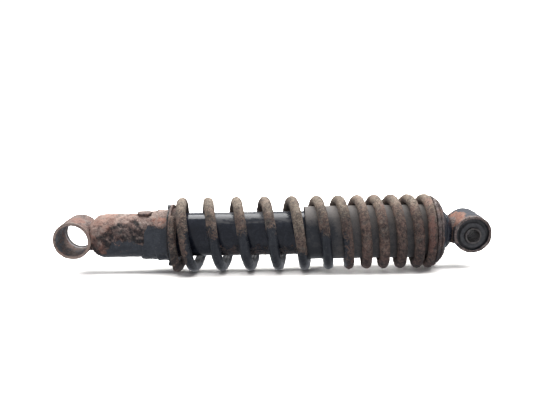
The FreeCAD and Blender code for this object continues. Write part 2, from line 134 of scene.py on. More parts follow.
# ---- shapes
def outline(points, step=STEP):
    """A closed outline through (along, out) points with rounded corners and no stretch longer than step.

    A third number on a point is its corner's radius.
    """
    places = np.array([p[:2] for p in points], float)
    stops = []
    for n, place in enumerate(places):
        back, ahead = places[n - 1] - place, places[(n + 1) % len(places)] - place
        back_length, ahead_length = np.linalg.norm(back), np.linalg.norm(ahead)
        back, ahead = back / back_length, ahead / ahead_length
        turn = math.acos(float(np.clip(-back @ ahead, -1, 1)))
        radius = points[n][2] if len(points[n]) > 2 else 0.35
        cut = min(radius * math.tan(turn / 2), 0.45 * back_length, 0.45 * ahead_length)
        if turn < 0.08 or cut < 0.03:
            stops.append(place)
            continue
        count = max(3, int(2 * cut / step) + 2)
        for t in np.linspace(0, 1, count):
            stops.append(
                (1 - t) ** 2 * (place + back * cut) + 2 * t * (1 - t) * place + t * t * (place + ahead * cut)
            )
    line = []
    for n, here in enumerate(stops):
        there = stops[(n + 1) % len(stops)]
        count = max(1, math.ceil(float(np.linalg.norm(there - here)) / step))
        line += [here + (there - here) * k / count for k in range(count)]
    return np.array(line)


def arc(x0, r0, x1, r1, x2, r2, count=9):
    """(along, out) points of the round stretch from the first place through the second to the third."""
    a = np.array([[x0, r0, 1], [x1, r1, 1], [x2, r2, 1]])
    squares = -(a[:, 0] ** 2 + a[:, 1] ** 2)
    d, e, f = np.linalg.solve(a, squares)
    cx, cy = -d / 2, -e / 2
    radius = math.sqrt(cx * cx + cy * cy - f)
    first, last = math.atan2(r0 - cy, x0 - cx), math.atan2(r2 - cy, x2 - cx)
    last = first + (last - first + math.pi) % (2 * math.pi) - math.pi
    angles = np.linspace(first, last, count)
    return [(cx + radius * math.cos(t), cy + radius * math.sin(t), 0.2) for t in angles]


def turned(points, around, step=STEP):
    """A grid of points turned about X from an outline."""
    line = outline(points, step)
    angle = np.linspace(0, 2 * math.pi, around, endpoint=False)
    x = np.repeat(line[:, 0:1], around, axis=1)
    y = -np.outer(line[:, 1], np.sin(angle))
    z = np.outer(line[:, 1], np.cos(angle))
    return np.stack([x, y, z], axis=-1)


def turned_across(points, around, x_centre, step=STEP):
    """A grid of points turned about the line along Y through x_centre, from a (y, radius) outline."""
    grid = turned(points, around, step)
    return np.stack([x_centre + grid[..., 1], grid[..., 0], grid[..., 2]], axis=-1)


def angle_of(points):
    """Degrees from the top towards the near side."""
    return np.degrees(np.arctan2(-points[..., 1], points[..., 2]))


def off_angle(points, angle):
    """Degrees round the shock between points and an angle, from 0 to 180."""
    return np.abs((angle_of(points) - angle + 180) % 360 - 180)


def off_axis(points):
    """Millimetres from the shock's own axis."""
    return np.hypot(points[..., 1], points[..., 2])


def build(name, grid, material, body, nodes, relief=None, marks=None, closed=True):
    """Makes a mesh from a grid of points that wraps in its second direction, and in its first if closed."""
    rows, columns = grid.shape[:2]
    index = np.arange(rows * columns).reshape(rows, columns)
    after = np.roll(index, -1, axis=1)
    if closed:
        below, below_after = np.roll(index, -1, axis=0), np.roll(after, -1, axis=0)
        faces = np.stack([index, after, below_after, below], axis=-1)
        along = np.roll(grid, -1, axis=0) - np.roll(grid, 1, axis=0)
    else:
        faces = np.stack([index[:-1], after[:-1], after[1:], index[1:]], axis=-1)
        along = np.gradient(grid, axis=0)
    faces = faces.reshape(-1, 4)
    across = np.roll(grid, -1, axis=1) - np.roll(grid, 1, axis=1)
    points = grid.reshape(-1, 3)
    centre = points.mean(axis=0)
    corners = points[faces] - centre
    volume = np.einsum("ij,ij->", corners[:, 0], np.cross(corners[:, 1], corners[:, 2]))
    volume += np.einsum("ij,ij->", corners[:, 0], np.cross(corners[:, 2], corners[:, 3]))
    normals = np.cross(across, along).reshape(-1, 3)
    faces = faces.tolist()
    if not closed:
        faces += [index[0][::-1].tolist(), index[-1].tolist()]
    if volume < 0:
        normals = -normals
        faces = [face[::-1] for face in faces]
    normals /= np.maximum(np.linalg.norm(normals, axis=1, keepdims=True), 1e-9)
    placed = points if relief is None else points + normals * relief(points, normals)[:, None]
    mesh = bpy.data.meshes.new(name)
    mesh.from_pydata((placed * MM).tolist(), [], faces)
    mesh.shade_smooth()
    values = {} if marks is None else marks(points, normals)
    for key, value in values.items():
        attribute = mesh.attributes.new(key, "FLOAT", "POINT")
        attribute.data.foreach_set("value", np.clip(value, 0, 1).astype(np.float32))
    rest = mesh.attributes.new("rest", "FLOAT_VECTOR", "POINT")
    rest.data.foreach_set("vector", points.astype(np.float32).ravel())
    mesh.materials.append(material)
    piece = bpy.data.objects.new(name, mesh)
    bpy.context.scene.collection.objects.link(piece)
    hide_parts(*nodes)
    if body:
        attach(piece, body)
    return piece


def second_finish(piece, material, rows, grid):
    """Gives another material to the faces that lie between two marked rows of a piece's grid."""
    piece.data.materials.append(material)
    between = np.repeat(rows & np.roll(rows, -1), grid.shape[1])
    piece.data.polygons.foreach_set("material_index", between.astype(np.int32))


# ---- materials
class Recipe:
    """A node material put together step by step. Sockets take a number, a colour or another node's output."""

    def __init__(self, name, source="rest"):
        self.material = bpy.data.materials.new(name)
        self.material.use_nodes = True
        self.tree = self.material.node_tree
        self.shader = self.tree.nodes["Principled BSDF"]
        if source == "rest":
            node = self.put("ShaderNodeAttribute", attribute_name="rest")
            self.place = node.outputs["Vector"]
        else:
            node = self.put("ShaderNodeVectorMath", operation="SCALE")
            self.join(node.inputs[0], self.put("ShaderNodeTexCoord").outputs["Object"])
            node.inputs["Scale"].default_value = 1 / MM
            self.place = node.outputs[0]

    def put(self, kind, **settings):
        node = self.tree.nodes.new(kind)
        for key, value in settings.items():
            setattr(node, key, value)
        return node

    def join(self, socket, value):
        if isinstance(value, bpy.types.NodeSocket):
            self.tree.links.new(value, socket)
        else:
            socket.default_value = value

    def mark(self, name):
        return self.put("ShaderNodeAttribute", attribute_name=name).outputs["Fac"]

    def noise(self, size, detail=4.0, rough=0.6, twist=0.0):
        """Noise spread out to fill the range from 0 to 1."""
        node = self.put("ShaderNodeTexNoise")
        self.join(node.inputs["Vector"], self.place)
        settings = {"Scale": 1 / size, "Detail": detail, "Roughness": rough, "Distortion": twist}
        for key, value in settings.items():
            node.inputs[key].default_value = value
        return self.between(node.outputs["Fac"], 0.28, 0.72)

    def math(self, operation, a, b=0.0, clamp=False):
        node = self.put("ShaderNodeMath", operation=operation, use_clamp=clamp)
        self.join(node.inputs[0], a)
        self.join(node.inputs[1], b)
        return node.outputs[0]

    def add_up(self, *terms):
        """Adds (value, weight) terms, and clamps the sum between 0 and 1."""
        total = 0.0
        for n, (value, weight) in enumerate(terms):
            node = self.put("ShaderNodeMath", operation="MULTIPLY_ADD", use_clamp=n == len(terms) - 1)
            self.join(node.inputs[0], value)
            self.join(node.inputs[1], weight)
            self.join(node.inputs[2], total)
            total = node.outputs[0]
        return total

    def between(self, value, low, high, start=0.0, end=1.0):
        node = self.put("ShaderNodeMapRange", interpolation_type="SMOOTHSTEP")
        for socket, item in zip(node.inputs, (value, low, high, start, end)):
            self.join(socket, item)
        return node.outputs[0]

    def mix(self, factor, a, b):
        node = self.put("ShaderNodeMix", data_type="RGBA")
        for number, item in ((0, factor), (6, a), (7, b)):
            self.join(node.inputs[number], (*item, 1) if isinstance(item, tuple) else item)
        return node.outputs[2]

    def ramp(self, factor, stops):
        node = self.put("ShaderNodeValToRGB")
        self.join(node.inputs[0], factor)
        band = node.color_ramp
        while len(band.elements) < len(stops):
            band.elements.new(0.5)
        for element, (place, colour) in zip(band.elements, stops):
            element.position = place
            element.color = tuple(colour) + (1,)
        return node.outputs[0]

    def finish(self, colour, roughness, height=None, depth=0.2, **fixed):
        """Joins colour, roughness and bump to the shader; what is the same all over is set on its sockets."""
        self.join(self.shader.inputs["Base Color"], colour)
        self.join(self.shader.inputs["Roughness"], roughness)
        if height is not None:
            bump = self.put("ShaderNodeBump")
            self.join(bump.inputs["Height"], height)
            bump.inputs["Distance"].default_value = depth * MM
            bump.inputs["Strength"].default_value = 0.8
            self.join(self.shader.inputs["Normal"], bump.outputs[0])
        for key, value in fixed.items():
            self.shader.inputs[key.replace("_", " ")].default_value = value
        return self.material


# (tone, colour) stops, from the darkest rust to the palest
RUST = (
    (0.0, (0.016, 0.014, 0.015)), (0.25, (0.050, 0.040, 0.037)), (0.5, (0.135, 0.096, 0.083)),
    (0.75, (0.28, 0.20, 0.17)), (1.0, (0.48, 0.37, 0.31)),
)
WIRE_RUST = (
    (0.0, (0.017, 0.015, 0.015)), (0.25, (0.052, 0.042, 0.037)), (0.5, (0.125, 0.096, 0.077)),
    (0.75, (0.25, 0.195, 0.145)), (1.0, (0.44, 0.36, 0.28)),
)
PLUM_RUST = (
    (0.0, (0.018, 0.014, 0.014)), (0.25, (0.052, 0.040, 0.038)), (0.5, (0.118, 0.086, 0.078)),
    (0.75, (0.22, 0.168, 0.148)), (1.0, (0.44, 0.38, 0.34)),
)
PAINT = (0.045, 0.050, 0.059)
GLOSS_PAINT = (0.016, 0.019, 0.029)
DUST = (0.125, 0.122, 0.124)
PIT = (0.022, 0.018, 0.017)
SPECK = (0.15, 0.145, 0.14)


def shade(colour, factor):
    return tuple(c * factor for c in colour)


def aged(name, rust, paint=PAINT, orange=(0.26, 0.115, 0.078), gloss=0.32, coarse=1.0, grain=1.0, peel=0.25):
    """Painted metal that is rusting.

    A piece's marks say where rust shows, how pale and how orange it is, and where dust lies.
    """
    r = Recipe(name)
    fine = r.noise(1.25 * coarse, 5, 0.72)
    middle = r.noise(2.6 * coarse, 4, 0.6, 0.6)
    broad = r.noise(7.0 * coarse, 3, 0.55, 0.9)
    specks = r.between(r.noise(1.1 * coarse, 2, 0.5), 0.82, 0.95)
    holes = r.between(r.noise(1.9 * coarse, 4, 0.65, 1.5), 0.7, 0.9)
    tone = r.add_up(
        (r.mark("tone"), 1.0), (fine, 0.34 * grain), (middle, 0.26 * grain), (broad, 0.18),
        (specks, 0.2), (-0.1 - 0.3 * grain, 1.0),
    )
    scale = r.ramp(tone, rust)
    bright = r.add_up((tone, 0.9), (0.1, 1.0))
    warm = r.add_up((r.mark("warm"), 1.2), (broad, 0.4), (middle, 0.15), (-0.4, 1.0))
    scale = r.mix(warm, scale, r.mix(bright, shade(orange, 0.25), shade(orange, 1.7)))
    cool = r.math("MULTIPLY", r.between(r.noise(4.3 * coarse, 3, 0.6, 1.0), 0.62, 0.9), 0.3)
    scale = r.mix(cool, scale, r.mix(bright, (0.030, 0.032, 0.030), (0.27, 0.27, 0.235)))
    scale = r.mix(r.math("MULTIPLY", holes, 0.5), scale, PIT)
    spread = r.add_up((r.mark("rust"), 1.0), (fine, 0.42), (middle, 0.34), (broad, 0.16), (-0.46, 1.0))
    cover = r.between(spread, 0.4, 0.6)
    coat = r.mix(r.add_up((broad, 0.6), (fine, 0.15)), shade(paint, 0.75), shade(paint, 1.5))
    coat = r.mix(r.add_up((specks, 0.3 * grain)), coat, SPECK)
    dust = r.add_up((r.mark("dust"), 1.0), (fine, 0.12), (broad, 0.16), (-0.14, 1.0))
    colour = r.mix(dust, r.mix(cover, coat, scale), DUST)
    rough = r.add_up((cover, 0.5), (dust, 0.4), (gloss, 1.0))
    height = r.add_up((fine, 0.45), (middle, 0.35), (cover, 0.3), (holes, -0.3))
    worn = r.add_up((cover, 1.0), (peel, 1.0))
    return r.finish(colour, rough, r.math("MULTIPLY", height, worn), 0.35, Specular_IOR_Level=0.35)


rusted = aged("rusted_steel", RUST)
wire = aged(
    "rusted_wire", WIRE_RUST, (0.021, 0.024, 0.030), orange=(0.2, 0.108, 0.085), coarse=0.9, grain=1.15,
)
tube_paint = aged("reservoir_finish", RUST)
clean_paint = aged("reservoir_gloss", RUST, GLOSS_PAINT, gloss=0.1, grain=0.0, peel=0.0)
seat_finish = aged("seat_finish", PLUM_RUST, (0.024, 0.028, 0.037), orange=(0.24, 0.1, 0.06))
dome_finish = aged("dome_finish", PLUM_RUST, GLOSS_PAINT, gloss=0.16, peel=0.05)


def rubber_like(name, dark, pale, rough):
    r = Recipe(name)
    fine, middle = r.noise(0.5, 4, 0.6), r.noise(3.5, 4, 0.6)
    bloom = r.add_up((fine, 0.5), (middle, 0.9), (-0.35, 1.0))
    height = r.add_up((fine, 0.6), (middle, 0.4))
    return r.finish(r.mix(bloom, dark, pale), r.add_up((bloom, 0.2), (rough, 1.0)), height, 0.12)


# The eye's far lip: worn bare steel whose pale colour is partly its own and partly a painted reflection.
r = Recipe("worn_lip_painted_sheen")
fine, middle = r.noise(0.6, 5, 0.7), r.noise(3.0, 4, 0.6)
stain = r.add_up((fine, 0.5), (middle, 0.8), (-0.4, 1.0))
worn_lip_painted_sheen = r.finish(
    r.mix(stain, (0.68, 0.66, 0.65), (0.30, 0.27, 0.25)), r.add_up((stain, 0.3), (0.35, 1.0)), fine, 0.08,
)

rubber = rubber_like("bush_rubber", (0.040, 0.040, 0.041), (0.105, 0.103, 0.103), 0.55)
pad_rubber = rubber_like("pad_rubber", (0.006, 0.006, 0.007), (0.035, 0.03, 0.028), 0.5)

r = Recipe("dust_cover_plastic")
fine, middle = r.noise(0.6, 5, 0.65), r.noise(5.0, 4, 0.6, 0.5)
grey = r.add_up((r.mark("dust"), 1.0), (fine, 0.35), (middle, 0.35), (-0.36, 1.0))
plastic = r.finish(
    r.mix(grey, (0.017, 0.020, 0.026), (0.2, 0.178, 0.16)), r.add_up((grey, 0.4), (0.34, 1.0)),
    r.add_up((fine, 0.5), (middle, 0.4)), 0.12,
)

r = Recipe("sleeve_steel")
fine, middle = r.noise(0.5, 5, 0.7), r.noise(2.2, 4, 0.6)
stain = r.add_up((fine, 0.6), (middle, 0.9), (-0.4, 1.0))
sleeve_steel = r.finish(
    r.mix(stain, (0.17, 0.155, 0.145), (0.06, 0.05, 0.045)), r.add_up((stain, 0.3), (0.4, 1.0)),
    r.add_up((fine, 1.0)), 0.1, Metallic=0.6,
)


# ---- how pieces age
def weather_and_top_light(points, normals, rust, tone, warm=0.1, dust=0.0, lift=0.25, seed=1):
    """Starting marks: more rust and dust where a face looks up, and a paler tone there that is painted top
    light, in clouds of two sizes.
    """
    big = cloud(points, 14, seed) - 0.5
    small = cloud(points, 4, seed + 9) - 0.5
    up = normals[:, 2]
    return {
        "rust": rust + 0.9 * big + 0.6 * small + lift * up,
        # 0.2 * up in the tone is painted light: paler where a face looks up
        "tone": tone + 0.5 * small + 0.35 * big + 0.2 * up,
        "warm": warm + 0.7 * (cloud(points, 9, seed + 20) - 0.5),
        "dust": dust + 0.4 * big + 0.3 * up,
    }


def crust(depth, flake=0.25, seed=3):
    """Relief of rusted metal: lumps, flakes with sharp edges, and pits."""
    def relief(points, normals):
        lumps = cloud(points, 4.5, seed) - 0.5
        flakes = smooth(cloud(points, 3.2, seed + 7), 0.54, 0.6)
        pits = smooth(cloud(points, 1.8, seed + 13, 2), 0.64, 0.8)
        return depth * 1.6 * lumps + flake * flakes - depth * 1.2 * pits
    return relief


# ---- lower end
eye_radius = span("lower_eye")[2]
half_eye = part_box("lower_eye")[1].y / MM
bore_radius, lip_radius = 12.8, 11.5
lip_y, lip_width = 10.5, 1.4
worn_from_y, worn_to_y = 8.4, 12
lower_eye = turned_across([
    (-half_eye, bore_radius, 0.3), (-half_eye, eye_radius, 0.45), (half_eye, eye_radius, 0.8),
    (half_eye, bore_radius, 0.4), (lip_y + lip_width, bore_radius, 0.2), (lip_y + lip_width, lip_radius, 0.4),
    (lip_y, lip_radius, 0.4), (lip_y, bore_radius, 0.2),
], 160, 0, FINE_STEP)


def lower_eye_relief(points, normals):
    out = smooth(np.hypot(points[:, 0], points[:, 2]), 13.1, 15.2)
    return (0.25 + 0.75 * out) * crust(0.16, 0.16)(points, normals)


def lower_eye_marks(points, normals):
    marks = weather_and_top_light(points, normals, 0.85, 0.56, 0.24, seed=31)
    far = np.hypot(points[:, 0], points[:, 2])
    bore = 1 - smooth(far, 12.9, 13.2)
    face = smooth(-points[:, 1], half_eye - 1.2, half_eye - 0.5) * (1 - bore)
    # On the near face the extra rust is real; its raised tone, most of all low on the face, is painted light.
    marks["rust"] += -0.36 * bore + 0.5 * face
    marks["tone"] += -0.06 * bore + 0.42 * face + 0.15 * face * smooth(-points[:, 2], 7, 13)
    marks["warm"] += -0.1 * bore - 0.1 * face
    marks["warm"] += 0.45 * spot(points, (4, -6, 15), (6, 7, 4), 33)
    return marks


eye_piece = build(
    "lower_eye_ring", lower_eye, rusted, "damper_body", ["lower_eye"],
    lower_eye_relief, lower_eye_marks,
)
eye_r, eye_y = np.hypot(lower_eye[:, 0, 0], lower_eye[:, 0, 2]), lower_eye[:, 0, 1]
worn = (eye_r < bore_radius + 0.1) & (eye_y > worn_from_y) & (eye_y < worn_to_y)
second_finish(eye_piece, worn_lip_painted_sheen, worn, lower_eye)


def weld_relief(eye_x, neck_x, way):
    """A fillet that runs out on to the eye and on to the neck, with the ripples of the weld."""
    def relief(points, normals):
        eye_gap = np.maximum(np.hypot(points[:, 0] - eye_x, points[:, 2]) - eye_radius, 0)
        neck_gap = np.maximum((neck_x - points[:, 0]) * way, 0)
        angle = np.radians(angle_of(points))
        ripple = 0.18 * np.sin(angle * 30 + 3 * cloud(points, 3, 51))
        fillet = 1.2 * np.exp(-eye_gap) + np.exp(-neck_gap)
        return fillet + ripple + 0.7 * (cloud(points, 3, 52) - 0.5)
    return relief


def weld_marks(points, normals):
    return weather_and_top_light(points, normals, 0.95, 0.45, 0.3, seed=37)


MID_WALL_RADIUS = 14.4


def clear_of_eye(grid, eye_x, way):
    """Draws in what would stand inside the eye's bore, so that the bead ends in the eye's wall."""
    wall = np.sqrt(np.maximum(MID_WALL_RADIUS ** 2 - grid[..., 2] ** 2, 0))
    x = np.maximum((grid[..., 0] - eye_x) * way, wall)
    return np.concatenate([(eye_x + x * way)[..., None], grid[..., 1:]], axis=-1)


weld = clear_of_eye(turned([(6.5, 6), (6.5, 10.3), (14.2, 10.6), (14.2, 6)], 110, 0.6), 0, 1)
build(
    "lower_weld_bead", weld, rusted, "damper_body", ["lower_eye_weld"],
    weld_relief(0, 13.5, 1), weld_marks,
)

# ---- reservoir
cap_x, _, tube_radius = span("lower_end_cap")
tube_end_x = span("reservoir_tube")[1]
core_radius = 4
inner_radius = 14.6
shell = turned([
    (cap_x, core_radius), *arc(cap_x, 11.6, 17.6, 15.9, 23.5, tube_radius),
    (tube_end_x - 1.5, tube_radius, 1.2), (tube_end_x, tube_radius - 1.5, 0.6), (tube_end_x, inner_radius),
    (cap_x + 6, inner_radius), (cap_x + 6, core_radius),
], 140)
CLEAN_X = 84


def rusty_end(points):
    """1 on the rusted lower end of the reservoir, 0 on its clean painted stretch inside the spring."""
    return smooth(CLEAN_X - points[:, 0], -4, 6)


def shell_zones(points):
    """How far a place belongs to the pale top, and to the painted underside, of the rusted end."""
    angle = (
        np.abs(angle_of(points))
        + 46 * (cloud(points, 12, 67) - 0.5) + 22 * (cloud(points, 3.5, 68) - 0.5)
    )
    angle = angle - 30 * smooth(34 - points[:, 0], 0, 12)
    return 1 - smooth(angle, 36, 54), smooth(angle, 88, 108)


def shell_relief(points, normals):
    outside = smooth(off_axis(points), 10, 12)
    _, low = shell_zones(points)
    rough = crust(0.3, 0.42, 61)(points, normals) * rusty_end(points) * (1 - 0.8 * low)
    return outside * (rough + 0.04 * (cloud(points, 9, 65) - 0.5))


def shell_marks(points, normals):
    x, z = points[:, 0], points[:, 2]
    big, small = cloud(points, 7, 70) - 0.5, cloud(points, 3.0, 71) - 0.5
    top, low = shell_zones(points)
    middle = (1 - top) * (1 - low)
    angle = np.abs(angle_of(points))
    # On the clean tube's top between the coils the pale marks along X are partly dust and partly a painted
    # highlight.
    dust_and_sheen_band = smooth(x, 108, 116) * (1 - smooth(x, 174, 181))
    dust_and_highlight_streaks = smooth(cloud(points * (0.3, 1, 1), 2.2, 74), 0.42, 0.56)
    dust = dust_and_sheen_band * (0.22 + 0.45 * dust_and_highlight_streaks) * smooth(z + 2.5 * small, 11.6, 12.8)
    dust = dust + 0.07 * smooth(x, 90, 110) * smooth(angle, 35, 120)
    stains = 0.6 * smooth(angle + 50 * big, 92, 120) * smooth(x + 20 * big, 105, 125) - 0.1
    rusted_tone = 0.84 * top + 0.27 * middle + 0.34 * low + (0.6 + 1.4 * middle) * small + 0.3 * big
    return {
        "rust": np.where(x < CLEAN_X, top + middle * (0.9 + small) + (0.16 + 0.6 * small) * low, stains),
        "tone": np.where(x < CLEAN_X, rusted_tone, 0.34),
        "warm": 0.18 + 0.26 * smooth(40 - x, -12, 20) + 1.1 * (cloud(points, 8, 73) - 0.5) - 0.2 * middle,
        "dust": np.where(x < CLEAN_X, 0, dust),
    }


shell_piece = build(
    "reservoir_shell", shell, tube_paint, "damper_body",
    ["lower_end_cap", "reservoir_tube"], shell_relief, shell_marks,
)
second_finish(shell_piece, clean_paint, shell[:, 0, 0] > CLEAN_X, shell)


# (share of the way from the plate's middle line to its edge, radius) of each ring of a lug, from the top down
LUG_RINGS = (
    (0.02, 20.5), (0.2, 20.5), (0.4, 20.5), (0.6, 20.5), (0.8, 20.5), (0.92, 20.48),
    (0.965, 20.42), (0.99, 20.28), (1.0, 20.05), (1.0, 19.5), (1.0, 18.9), (1.0, 18.3), (1.0, 17.6),
    (0.4, 17.2), (0.02, 17.2),
)
LUG_MIDDLE_RADIUS = 19


def pill(angle):
    """A plate with round ends, bent over the tube."""
    start, end, _ = span("preload_lugs")
    start, end = start + 1.2, end + 0.5
    half = 4.0
    reach = (end - start) / 2 - half
    bend = half * math.pi
    walk = np.linspace(0, 4 * reach + 2 * bend, 84, endpoint=False)
    side, rest = np.divmod(walk, 2 * reach + bend)
    turn = np.clip((rest - 2 * reach) / half, 0, math.pi)
    way = 1 - 2 * side
    edge_x = way * (np.minimum(rest, 2 * reach) - reach + half * np.sin(turn))
    edge_s = -way * half * np.cos(turn)
    rows = []
    for scale, radius in LUG_RINGS:
        theta = math.radians(angle) + edge_s * scale / LUG_MIDDLE_RADIUS
        x = (start + end) / 2 + edge_x * scale
        rows.append(np.stack([x, -radius * np.sin(theta), radius * np.cos(theta)], axis=-1))
    return np.array(rows)


def lug_marks(points, normals):
    return weather_and_top_light(points, normals, 1.0, 0.48, 0.24, seed=75)


for name, angle in (("near_top_lug", 6), ("low_lug", 186)):
    build(
        name, pill(angle), rusted, "damper_body", ["preload_lugs"],
        crust(0.12, 0.1, 77), lug_marks, closed=False,
    )


# ---- preload collar
STEPS_X = 64.03
STEP_RISE = 2.25
STEP_ANGLE = 36
SEAT_ANGLE = 24
FIRST_SEAT_ANGLE = 9 - SEAT_ANGLE / 2
LAST_STEP = 4
BAND_X = 67.5
COLLAR_BORE_RADIUS = 18.4
SKIRT_RADIUS = 19.8
SPANNER_SLOT_ANGLES = (-50, 130)


def collar_edge(angle):
    """X of the collar's stepped lower edge at an angle in degrees: a seat, then a slope to the next one."""
    turn = (angle - FIRST_SEAT_ANGLE) % 180
    step = np.floor(turn / STEP_ANGLE)
    slope = np.clip((turn - STEP_ANGLE * step - SEAT_ANGLE) / (STEP_ANGLE - SEAT_ANGLE), 0, 1)
    return STEPS_X - STEP_RISE * (step + np.where(step < LAST_STEP, slope, -LAST_STEP * slope))


_, collar_end_x, band_radius = span("preload_cam_collar")
skirt = 8.0
collar = turned([
    (BAND_X - skirt, COLLAR_BORE_RADIUS, 0.4), (BAND_X - skirt, SKIRT_RADIUS, 0.5),
    (BAND_X, SKIRT_RADIUS, 0.3), (BAND_X + 0.4, band_radius, 0.5),
    (collar_end_x, band_radius, 0.5), (collar_end_x, COLLAR_BORE_RADIUS, 0.4),
], 170)
stretch = (BAND_X - collar_edge(angle_of(collar))) / skirt
in_skirt = collar[..., 0] < BAND_X
collar[..., 0] = np.where(in_skirt, BAND_X + (collar[..., 0] - BAND_X) * stretch, collar[..., 0])


def collar_relief(points, normals):
    relief = crust(0.25, 0.4, 81)(points, normals)
    slots = 0.0
    for angle in SPANNER_SLOT_ANGLES:
        inside = smooth(9.0 - off_angle(points, angle), 0, 1.5)
        slots = slots + inside * smooth(points[:, 0], 69, 70) * smooth(76.5 - points[:, 0], 0, 1)
    outside = smooth(off_axis(points), 19, 20)
    return relief * outside - 1.1 * slots * outside


def collar_marks(points, normals):
    big, small = cloud(points, 8, 83) - 0.5, cloud(points, 2.6, 84) - 0.5
    top = 1 - smooth(np.abs(angle_of(points)) + 40 * big + 16 * small, 50, 66)
    pink = spot(points, (70.6, -14, 15.6), (5.5, 5, 4), 87, 1.3)
    return {
        "rust": 0.1 + 0.95 * top + 0.3 * small,
        "tone": 0.32 + 0.46 * top + 0.8 * small + 0.12 * pink,
        "warm": 0.06 + 0.7 * (cloud(points, 6, 85) - 0.5) + 0.5 * pink,
        "dust": 0.25 * (cloud(points, 4, 86) - 0.5),
    }


build(
    "preload_collar", collar, rusted, "preload_cam", ["preload_cam_collar"],
    collar_relief, collar_marks,
)

# ---- lower seat
pad_x, pad_end_x, pad_radius = span("lower_seat_pad")
pad_bore = 18.6
pad = turned([
    (pad_x, pad_bore, 0.2), (pad_x, pad_radius, 0.4),
    (pad_end_x, pad_radius, 0.4), (pad_end_x, pad_bore, 0.2),
], 190, 0.6)
torn = 1 - smooth(off_angle(pad, 5), 4, 10) * smooth(off_angle(pad, 163), 14, 26)
torn = torn * smooth(off_axis(pad), 21.8, 23.2)
pad[..., 1:] *= 1 + 0.032 * torn[..., None]
pad[..., 0] -= 1.5 * torn * (pad[..., 0] < pad_x + 0.7)


def pad_relief(points, normals):
    reach = smooth(off_axis(points), 22, 25)
    return reach * (2.0 * (cloud(points, 5, 91) - 0.5) + 0.7 * (cloud(points, 1.6, 92) - 0.5)) - 0.1


build("seat_pad", pad, pad_rubber, "spring_seat", ["lower_seat_pad"], pad_relief)

seat_x, _, seat_radius = span("lower_spring_seat")
coil_x, coil_end_x, coil_outside = span("coil_spring")
washer_x, washer_top_x, spigot_x = seat_x + 0.03, coil_x - 0.08, coil_x + 3.7
washer_bore, spigot_radius = 18.5, 22.1
washer = turned([
    (washer_x, washer_bore), (washer_x, seat_radius, 0.6), (washer_top_x, seat_radius, 0.6),
    (washer_top_x, spigot_radius, 0.3), (spigot_x, spigot_radius, 1.0), (spigot_x, washer_bore),
], 190, FINE_STEP)


def washer_relief(points, normals):
    rim = smooth(off_axis(points), 23.5, 25)
    return rim * crust(0.22, 0.25, 95)(points, normals)


def washer_marks(points, normals):
    marks = weather_and_top_light(points, normals, 0.85, 0.58, 0.12, seed=97)
    marks["rust"] -= 0.5 * smooth(np.abs(angle_of(points)), 60, 110)
    return marks


build(
    "lower_spring_washer", washer, rusted, "spring_seat", ["lower_spring_seat"],
    washer_relief, washer_marks,
)


# ---- main spring
def wound(turn, centre_x, radius, wire_radius, around):
    """A grid of points on a round wire wound about X, from the turn and X at each step along it."""
    theta = 2 * math.pi * turn
    line = np.stack([centre_x, -radius * np.sin(theta), radius * np.cos(theta)], axis=-1)
    tangent = np.gradient(line, axis=0)
    tangent /= np.linalg.norm(tangent, axis=1, keepdims=True)
    out = np.stack([np.zeros_like(theta), -np.sin(theta), np.cos(theta)], axis=-1)
    side = np.cross(tangent, out)
    way = np.linspace(0, 2 * math.pi, around, endpoint=False)[None, :, None]
    return line[:, None, :] + wire_radius * (np.cos(way) * out[:, None, :] + np.sin(way) * side[:, None, :])


WIRE_RADIUS = 4.2
COIL_RADIUS = 26.6
START_TURN = 0.125
END_TURN = 12.5
COIL_START_X = 80.6
# (turn, pitch in mm per turn), with straight lines between:
# a closed end turn, open turns, tight turns, a closed end
PITCH_LAW = (
    (0, 8.5), (0.95, 8.5), (1.2, 23.3), (4.0, 23.3), (5.4, 21.0),
    (8.0, 14.1), (11.95, 13.8), (12.05, 3.9), (12.5, 3.9),
)
CLOSED_PITCH = 8.5
WORKING_TURN = 11.8  # beyond this turn the wire goes with the upper seat
ROUND = 28
ALONG = 2300

turn = np.linspace(START_TURN, END_TURN, ALONG + 1)
pitch = np.interp((turn[1:] + turn[:-1]) / 2, *zip(*PITCH_LAW))
centre_x = COIL_START_X + np.concatenate([[0], np.cumsum(pitch * np.diff(turn))])
working = turn[1:] < WORKING_TURN
gap = np.concatenate([[0], np.cumsum(np.maximum(pitch - CLOSED_PITCH, 0) * working)])
share = gap / gap[-1]  # how much of the stroke each step along the wire takes part in
coil = wound(turn, centre_x, COIL_RADIUS, WIRE_RADIUS, ROUND)


def coil_relief(points, normals):
    lumps = cloud(points, 5, 101) - 0.5
    pits = smooth(cloud(points, 1.7, 103, 3), 0.56, 0.74)
    scale = smooth(cloud(points, 3.0, 105), 0.52, 0.6)
    held = smooth(points[:, 0], coil_x, coil_x + 1) * smooth(coil_end_x - points[:, 0], 0, 1)
    inside = smooth(24 - off_axis(points), 0, 1)
    return held * (1 - inside) * (0.3 * lumps - 0.28 * pits + 0.16 * scale) - 0.05 - 0.1 * inside


